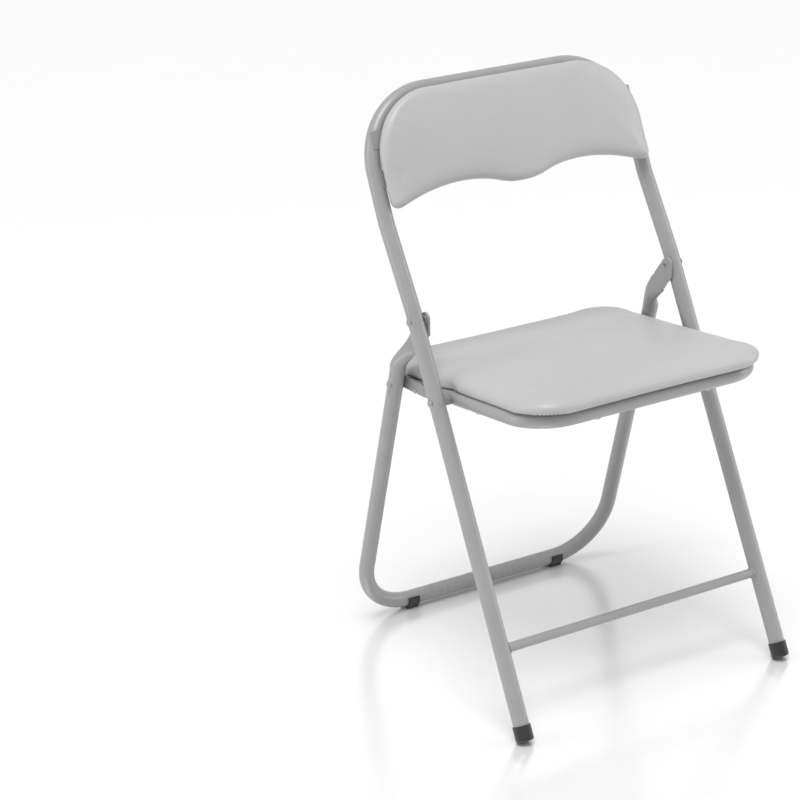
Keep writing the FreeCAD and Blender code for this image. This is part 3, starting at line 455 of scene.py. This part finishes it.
def puff(ob, pinned, cap, pressure=4.0, frames=20):
    """Inflates the closed mesh a little with the cloth solver."""
    rest = coords(ob)
    group = ob.vertex_groups.new(name="pin")
    for i in np.nonzero(pinned > 0)[0]:
        group.add([int(i)], float(pinned[i]), "REPLACE")
    mod = ob.modifiers.new("puff", "CLOTH")
    st = mod.settings
    st.quality = 6
    st.mass = 0.25
    st.tension_stiffness = st.compression_stiffness = 32
    st.shear_stiffness = 14
    st.bending_stiffness = 1.5
    st.use_pressure = True
    st.uniform_pressure_force = pressure
    st.effector_weights.gravity = 0
    st.vertex_group_mass = "pin"
    mod.collision_settings.use_collision = False
    mod.collision_settings.use_self_collision = False
    mod.point_cache.frame_start, mod.point_cache.frame_end = 1, frames
    for f in range(1, frames + 1):
        scene.frame_set(f)
    applied(ob)
    scene.frame_set(1)
    moved = coords(ob) - rest
    size = np.linalg.norm(moved, axis=1)
    cap = cap * MM
    keep = cap * np.tanh(size / cap) / np.maximum(size, 1e-9)
    set_coords(ob, rest + moved * keep[:, None])
    ob.vertex_groups.clear()
    return ob


def smoothed(ob, levels=1):
    sub = ob.modifiers.new("sub", "SUBSURF")
    sub.levels = sub.render_levels = levels
    return applied(ob)


def refine(ob, mask, cuts=1):
    """Finer faces where mask is true for all the corners of a face."""
    bm = bmesh.new()
    bm.from_mesh(ob.data)
    bm.verts.ensure_lookup_table()
    chosen = set()
    for f in bm.faces:
        if all(mask[v.index] for v in f.verts):
            chosen.update(f.edges)
    bmesh.ops.subdivide_edges(bm, edges=list(chosen), cuts=cuts, use_grid_fill=True, smooth=0.0)
    bm.to_mesh(ob.data)
    bm.free()
    ob.data.update()


def normals(ob):
    ob.data.update()
    a = np.zeros(len(ob.data.vertices) * 3)
    ob.data.vertices.foreach_get("normal", a)
    return a.reshape(-1, 3)


def lumps(p, scale, seed):
    """Seeded smooth noise, about -1 to 1, for points in mm."""
    off = Vector((seed * 17.3, seed * 5.1, seed * 9.7))
    return np.array([noise.noise(Vector(q) / scale + off) for q in p])


def step(x, a, b):
    t = np.clip((x - a) / (b - a), 0, 1)
    return t * t * (3 - 2 * t)


def place(ob, origin, ex, ey, ez):
    co = coords(ob)
    set_coords(ob, np.array(origin) * MM + co[:, :1] * ex + co[:, 1:2] * ey + co[:, 2:] * ez)
    for p in ob.data.polygons:
        p.use_smooth = True
    ob.data.update()


def outward(ob):
    bm = bmesh.new()
    bm.from_mesh(ob.data)
    bmesh.ops.recalc_face_normals(bm, faces=bm.faces)
    bm.to_mesh(ob.data)
    bm.free()


EX = np.array([1.0, 0, 0])

# ------------------------------------------------------------------ seat pad
TILT = math.radians(7.4)
SEAT_AT = (0, 4.717, 410.628)
S_DIR = np.array([0, math.cos(TILT), -math.sin(TILT)])
S_UP = np.array([0, math.sin(TILT), math.cos(TILT)])
HALF, FRONT, REAR, RF, RR = 195.3, 204.8, 171.2, 55.0, 59.0


def seat_outline():
    pts = []

    def arc(cx, cy, r, a0, a1):
        for k in range(25):
            a = math.radians(a0 + (a1 - a0) * k / 24)
            pts.append((cx + r * math.cos(a), cy + r * math.sin(a)))
    arc(HALF - RF, -FRONT + RF, RF, -90, 0)
    arc(HALF - RR, REAR - RR, RR, 0, 90)
    arc(-HALF + RR, REAR - RR, RR, 90, 180)
    arc(-HALF + RF, -FRONT + RF, RF, 180, 270)
    p = resample(np.array(pts), 2.0)[0]
    # the cover pulls in a little between its corners
    v = p[:, 1] + 16.8
    pull = 1.5 * np.clip(1 - (v / 135) ** 2, 0, 1)
    p[:, 0] -= np.sign(p[:, 0]) * np.where(np.abs(p[:, 0]) > HALF - 1, pull, 0)
    u = p[:, 0]
    pull = 2.2 * np.clip(1 - (u / 142) ** 2, 0, 1)
    p[:, 1] += np.where(p[:, 1] < -FRONT + 1, pull, 0) - np.where(p[:, 1] > REAR - 1, pull * 0.8, 0)
    return Outline(p)


seat_line = seat_outline()
S_LOW, S_MID, S_HIGH = 10.3, 17.5, 31.0
seat = slab("seat_pad", seat_line, S_LOW, S_HIGH, 5.0)
co = coords(seat) / MM
low_flat = co[:, 2] < S_LOW + 2.0
rounded = round_over(co, seat_line, S_LOW, S_MID, S_HIGH, 25.0, 5.0)
d, _, _, _ = seat_line.query(rounded[:, :2])
top = rounded[:, 2] > S_MID
crown = 5.5 * step(d, 0, 150) + 1.0 * step(d, 8, 45)
rounded[:, 2] += np.where(top, crown * np.clip((rounded[:, 2] - S_MID) / (S_HIGH - S_MID), 0, 1), 0)
set_coords(seat, rounded * MM)
outward(seat)
pinned = np.where(low_flat & (d > 5.0), 1.0, np.where(low_flat, 0.6, 0.0))
puff(seat, pinned, 1.5)
smoothed(seat, 1)
co = coords(seat) / MM
d, n2, q, arc_at = seat_line.query(co[:, :2])
corner = np.zeros(len(co))
for cx, cy, r in ((HALF - RF, -FRONT + RF, RF), (-HALF + RF, -FRONT + RF, RF),
                  (HALF - RR, REAR - RR, RR), (-HALF + RR, REAR - RR, RR)):
    sx, sy = math.copysign(1, cx), -1 if cy < 0 else 1
    ax, ay = (co[:, 0] - cx) * sx, (co[:, 1] - cy) * sy
    ang = np.degrees(np.arctan2(ay, ax))
    corner = np.maximum(corner, step(ang, 6, 24) * (1 - step(ang, 66, 84)) * (np.hypot(ax, ay) > r * 0.45))
refine(seat, (corner > 0.02) & (co[:, 2] < 25) & (d < 17))
co = coords(seat) / MM
nv = normals(seat)
d, n2, q, arc_at = seat_line.query(co[:, :2])
corner = np.zeros(len(co))
for cx, cy, r in ((HALF - RF, -FRONT + RF, RF), (-HALF + RF, -FRONT + RF, RF),
                  (HALF - RR, REAR - RR, RR), (-HALF + RR, REAR - RR, RR)):
    sx, sy = math.copysign(1, cx), -1 if cy < 0 else 1
    ax, ay = (co[:, 0] - cx) * sx, (co[:, 1] - cy) * sy
    ang = np.degrees(np.arctan2(ay, ax))
    corner = np.maximum(corner, step(ang, 6, 24) * (1 - step(ang, 66, 84)) * (np.hypot(ax, ay) > r * 0.45))
h = co[:, 2]
push = np.zeros(len(co))
# gathered pleats where the cover folds under its corners
fold = np.abs(np.sin(arc_at / 5.6 * math.pi + 0.6 * np.sin(arc_at / 17.0)))
fade = (1 - step(h, 11.5, 16.0)) * (1 - step(d, 10, 17)) * corner
push += -1.5 * (fold ** 1.6) * fade
# slow puckers along the lower edge of the sides
wave = np.sin(arc_at / 14.0 + 1.7 * np.sin(arc_at / 61.0)) * np.sin(arc_at / 47.0 + 0.9)
push += 0.42 * wave * (1 - step(h, 14, 30)) * step(h, 10.5, 12) * (1 - 0.6 * corner)
# soft unevenness of the foam under the cover
on_top = step(h, 20, 30)
push += 0.55 * lumps(co * (1, 1, 0), 85.0, 1) * on_top
push += 0.22 * lumps(co * (1, 1, 0), 31.0, 2) * on_top
# dimples where the pivot bush and the link press against the side
for sx in (-1, 1):
    for v0, h0, r0, deep in ((0.0, 15.0, 9.5, 3.0), (52.3, 15.0, 8.0, 2.4)):
        rr = np.hypot((co[:, 1] - v0) / r0, (h - h0) / (r0 * 0.8))
        push -= deep * np.exp(-rr * rr) * (co[:, 0] * sx > HALF - 20)
co += nv * push[:, None]
co[:, 0] = np.clip(co[:, 0], -196.0, 196.0)
set_coords(seat, co * MM)
place(seat, SEAT_AT, EX, S_DIR, S_UP)
seat.data.materials.clear()
seat.data.materials.append(M_VINYL)
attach(seat, "seat")
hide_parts("seat_cover", "seat_foam", "seat_board")

# ------------------------------------------------------------------ back pad
B_AT = (0, 128.6, 624.1)
B_UP = np.array([0, 0.42578, 0.90483])
B_OUT = np.array([0, -0.90483, 0.42578])


def back_outline():
    low = [(0, 730.6), (9, 730.9), (20, 732.0), (32, 734.6), (44, 738.4), (58, 742.4), (75, 745.2), (95, 746.1),
           (115, 745.6), (133, 743.6), (150, 740.4), (168, 735.8), (184, 731.0), (194, 727.8), (199, 726.4)]
    pts = list(low)
    for k in range(0, 13):
        a = math.radians(-82 + 82 * k / 12)
        pts.append((200.5 + 11.5 * math.cos(a), 736.8 + 11.5 * math.sin(a)))
    for s in np.linspace(745, 784.0, 12):
        pts.append((212.0, s))
    for k in range(1, 40):
        a = math.radians(90 * k / 39)
        c, sn = max(math.cos(a), 0.0), math.sin(a)
        pts.append((212.0 - 96 + 96 * c ** (2 / 2.08), 784.0 + 96 * sn ** (2 / 2.08)))
    for x in np.linspace(110, 0, 16):
        pts.append((x, 880.0))
    left = [(-x, s) for x, s in pts[1:-1]][::-1]
    p = np.array(pts + left, float)
    p[:, 1] -= 712.0
    p = resample(p, 1.5)[0]
    for _ in range(3):
        p = p * 0.5 + (np.roll(p, 1, 0) + np.roll(p, -1, 0)) * 0.25
    return Outline(p)


back_line = back_outline()
B_LOW, B_MID, B_HIGH = 12.0, 21.5, 32.0
pad = slab("back_pad", back_line, B_LOW, B_HIGH, 4.5)
co = coords(pad) / MM
rear_flat = co[:, 2] < B_LOW + 2.0
rounded = round_over(co, back_line, B_LOW, B_MID, B_HIGH, 11.0, 7.5)
d, _, _, _ = back_line.query(rounded[:, :2])
front_side = rounded[:, 2] > B_MID
crown = 2.2 * step(d, 0, 60) + 0.6 * step(d, 6, 26)
rounded[:, 2] += np.where(front_side, crown * np.clip((rounded[:, 2] - B_MID) / (B_HIGH - B_MID), 0, 1), 0)
set_coords(pad, rounded * MM)
outward(pad)
pinned = np.where(rear_flat & (d > 4.0), 1.0, np.where(rear_flat, 0.6, 0.0))
puff(pad, pinned, 1.2)
smoothed(pad, 1)
co = coords(pad) / MM
nv = normals(pad)
d, n2, q, arc_at = back_line.query(co[:, :2])
h = co[:, 2]
push = 0.30 * lumps(co * (1, 1, 0), 70.0, 5) * step(h, 24, 33)
push += 0.16 * lumps(co * (1, 1, 0), 26.0, 6) * step(h, 24, 33)
wave = np.sin(arc_at / 11.0 + 1.3 * np.sin(arc_at / 43.0)) * np.sin(arc_at / 39.0 + 0.4)
push += 0.30 * wave * (1 - step(h, 15, 26))
co += nv * push[:, None]
set_coords(pad, co * MM)
place(pad, B_AT, EX, B_UP, B_OUT)
pad.data.materials.clear()
pad.data.materials.append(M_VINYL)
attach(pad, "front_frame")
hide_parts("back_cover", "back_foam", "back_board")

# refresh the imported parts' mesh data; their shading and normals stay as imported
for n, o in nodes.items():
    o.data.update()

# ------------------------------------------------------------ floor and light
me = bpy.data.meshes.new("floor")
S = 9.0
me.from_pydata([(-S, -S, 0), (S, -S, 0), (S, S, 0), (-S, S, 0)], [], [(0, 1, 2, 3)])
floor = bpy.data.objects.new("floor", me)
scene.collection.objects.link(floor)
floor.location.z = -0.0003
fs = Shader("studio_floor", Metallic=0.42)
fs.b.inputs["Specular IOR Level"].default_value = 0.5
fs.colour(fs.mix(fs.noise(3.0, 2.0), (0.915, 0.915, 0.915), (0.93, 0.93, 0.93)))
fs.rough(fs.remap(fs.noise(14.0, 2.0), 0.3, 0.7, 0.20, 0.24))
me.materials.append(fs.mat)


def area(name, at, aim, size, power, shape="RECTANGLE", size_y=None):
    ld = bpy.data.lights.new(name, "AREA")
    ld.shape = shape
    ld.size = size
    if size_y:
        ld.size_y = size_y
    ld.energy = power
    lo = bpy.data.objects.new(name, ld)
    scene.collection.objects.link(lo)
    lo.location = at
    lo.rotation_mode = "QUATERNION"
    lo.rotation_quaternion = (Vector(aim) - Vector(at)).to_track_quat("-Z", "Y")
    return lo


sun_data = bpy.data.lights.new("soft_overhead", "SUN")
sun_data.energy = 2.1
sun_data.angle = math.radians(32)
sun = bpy.data.objects.new("soft_overhead", sun_data)
scene.collection.objects.link(sun)
sun.rotation_mode = "QUATERNION"
sun.rotation_quaternion = Vector((0.22, 0.16, -1.0)).to_track_quat("-Z", "Y")
area("side_right", (2.3, -0.9, 1.3), (0, 0, 0.45), 0.5, 14, size_y=2.2)
area("side_left", (-2.3, 0.9, 1.3), (0, 0, 0.5), 0.5, 12, size_y=2.2)

world = bpy.data.worlds.new("studio")
world.use_nodes = True
wt = world.node_tree
bg = wt.nodes["Background"]
bg.inputs["Color"].default_value = (1, 1, 1, 1)
bg.inputs["Strength"].default_value = 0.735
scene.world = world
scene.view_settings.view_transform = "Standard"
scene.view_settings.look = "None"
